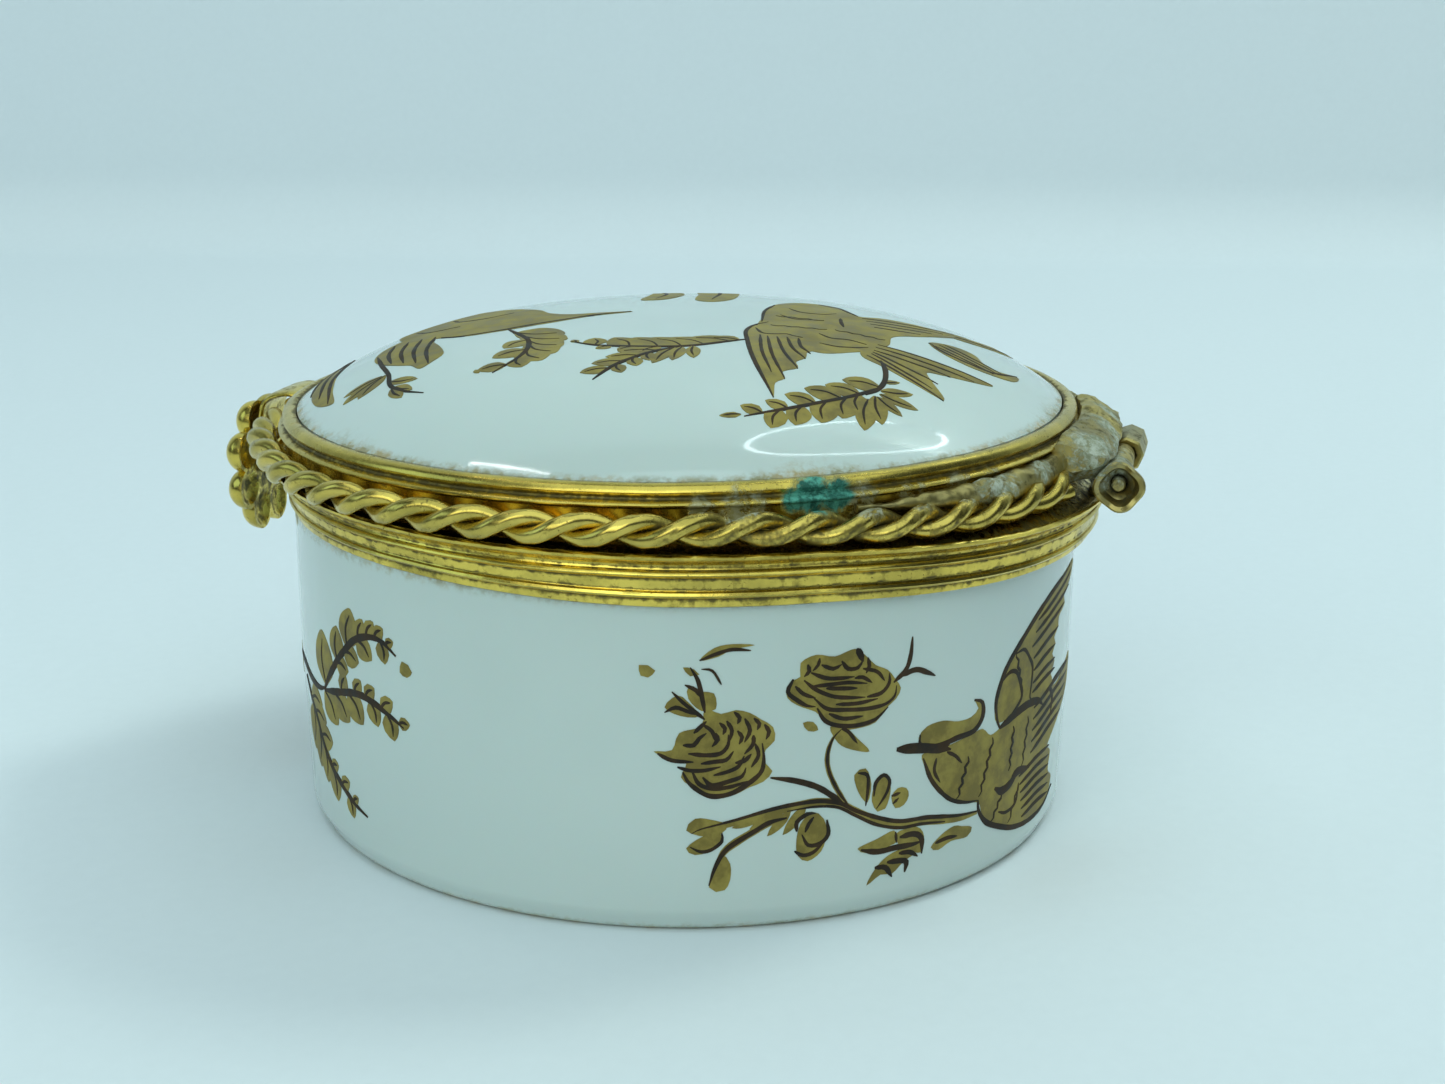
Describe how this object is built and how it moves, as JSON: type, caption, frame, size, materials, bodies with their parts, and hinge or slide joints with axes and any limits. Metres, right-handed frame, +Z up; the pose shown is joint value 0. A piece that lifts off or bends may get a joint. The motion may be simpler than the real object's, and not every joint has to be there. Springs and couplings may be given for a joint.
{
  "type": "round hinged trinket box",
  "caption": "Low round porcelain trinket box with a domed hinged lid, gilt brass bezels, a twisted wire border and a rosette clasp.",
  "frame": {"origin": "centre of the flat underside of the porcelain base, where the box stands", "axes": "+Z up, -Y towards the clasp, +Y towards the hinge, X along the hinge axis"},
  "size_m": [0.054, 0.0595, 0.0311],
  "materials": {
    "porcelain": "glossy white glaze with a faint green-grey cast",
    "gilt_brass": "worn gilding on brass, darker in the grooves",
    "gilt_wire": "bright rubbed gilding on round wire",
    "hinge_brass": "dull brass with grey-green solder and verdigris",
    "cement": "matt plaster bedding",
    "painted_gilding": "fired matt gold with dark brown line work"
  },
  "bodies": {
    "base": {"porcelain_base": "porcelain", "base_bezel": "gilt_brass", "base_cement": "cement", "locating_collar": "gilt_brass", "clasp_catch": "gilt_brass", "hinge_leaf_base": "hinge_brass", "hinge_knuckle_middle": "hinge_brass", "hinge_pin": "hinge_brass"},
    "lid": {"porcelain_lid": "porcelain", "lid_bezel": "gilt_brass", "lid_cement": "cement", "rope_strand_a": "gilt_wire", "rope_strand_b": "gilt_wire", "clasp_bracket": "gilt_brass", "clasp_rosette": "gilt_brass", "hinge_leaf_lid": "hinge_brass", "hinge_knuckle_near": "hinge_brass", "hinge_knuckle_far": "hinge_brass"}
  },
  "joints": [
    {"name": "lid_hinge", "type": "hinge", "parent": "base", "child": "lid", "pos_m": [0, 0.0278, 0.0232], "axis": [-1, 0, 0], "range_deg": [0, 100]}
  ]
}
